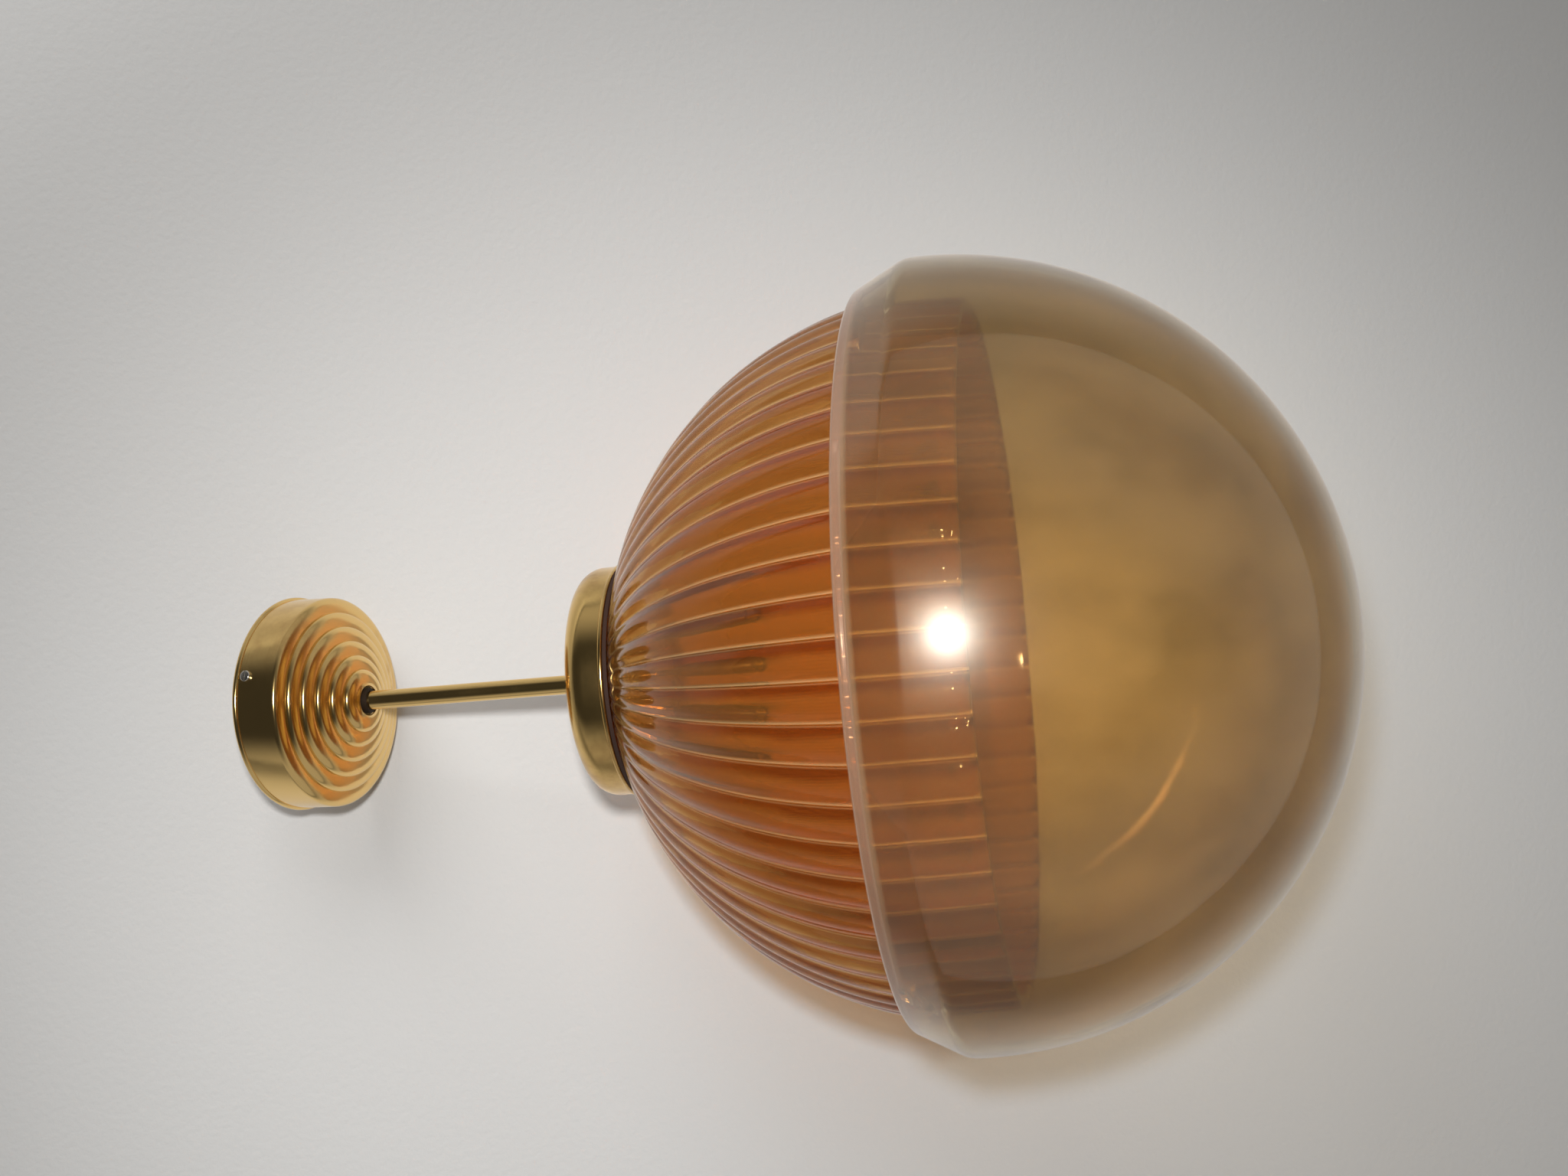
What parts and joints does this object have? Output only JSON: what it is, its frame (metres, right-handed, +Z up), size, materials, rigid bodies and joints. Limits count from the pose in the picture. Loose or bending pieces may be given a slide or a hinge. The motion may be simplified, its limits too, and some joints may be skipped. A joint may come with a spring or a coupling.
{
  "type": "pendant lamp",
  "caption": "Hanging lamp with a stepped brass canopy that slides and tilts on a short stem, a ribbed amber glass dome and a smooth glass bowl hung on it by a bayonet.",
  "frame": {"origin": "centre of the stem's top end face, where the lamp screws to its support", "axes": "+Z up along the stem as the lamp hangs; the loose canopy's boss faces -Y"},
  "size_m": [0.4, 0.4, 0.5723],
  "materials": {
    "polished_brass": "polished",
    "aged_brass": "lightly tarnished",
    "zinc_steel": "zinc plated",
    "nickel": "bright nickel",
    "black_rubber": "matt",
    "black_nylon": "satin",
    "amber_glass": "pressed, glossy",
    "smoke_amber_glass": "smooth, glossy",
    "dark_phenolic": "moulded",
    "porcelain": "glazed",
    "contact_brass": "bright",
    "ivory_plastic": "satin",
    "wire_brown": "satin",
    "wire_blue": "satin",
    "wire_green": "satin"
  },
  "bodies": {
    "lamp": {"stem_tube": "polished_brass", "top_washer": "zinc_steel", "earth_tag": "contact_brass", "top_nut": "aged_brass", "fitter_collar": "polished_brass", "fitter_cap": "aged_brass", "fitter_washer": "zinc_steel", "fitter_nut": "aged_brass", "lip_gasket": "black_rubber", "ribbed_dome": "amber_glass", "clamp_gasket": "black_rubber", "clamp_plate": "zinc_steel", "clamp_washer": "zinc_steel", "clamp_nut": "aged_brass", "holder_cap": "dark_phenolic", "holder_insert": "porcelain", "holder_screw_shell": "contact_brass", "holder_centre_contact": "contact_brass", "holder_terminals": "contact_brass", "holder_grub_screw": "zinc_steel", "holder_sleeve": "dark_phenolic", "terminal_block": "ivory_plastic", "block_screws": "zinc_steel", "wire_live": "wire_brown", "wire_neutral": "wire_blue", "wire_earth": "wire_green"},
    "canopy_slider": {"canopy_bush": "black_nylon"},
    "canopy": {"canopy_shell": "polished_brass", "canopy_side_screws": "nickel", "canopy_press_nuts": "zinc_steel"},
    "bowl": {"outer_bowl": "smoke_amber_glass"}
  },
  "joints": [
    {"name": "canopy_slide", "type": "slide", "parent": "lamp", "child": "canopy_slider", "axis": [0, 0, 1], "range_m": [-0.112, 0.01]},
    {"name": "canopy_tilt", "type": "hinge", "parent": "canopy_slider", "child": "canopy", "pos_m": [0, 0, -0.046], "axis": [-0.9945, 0.1045, 0], "range_deg": [-34, 10]},
    {"name": "bowl_turn", "type": "hinge", "parent": "lamp", "child": "bowl", "pos_m": [0, 0, -0.31], "axis": [0, 0, 1], "range_deg": [0, 20]}
  ]
}
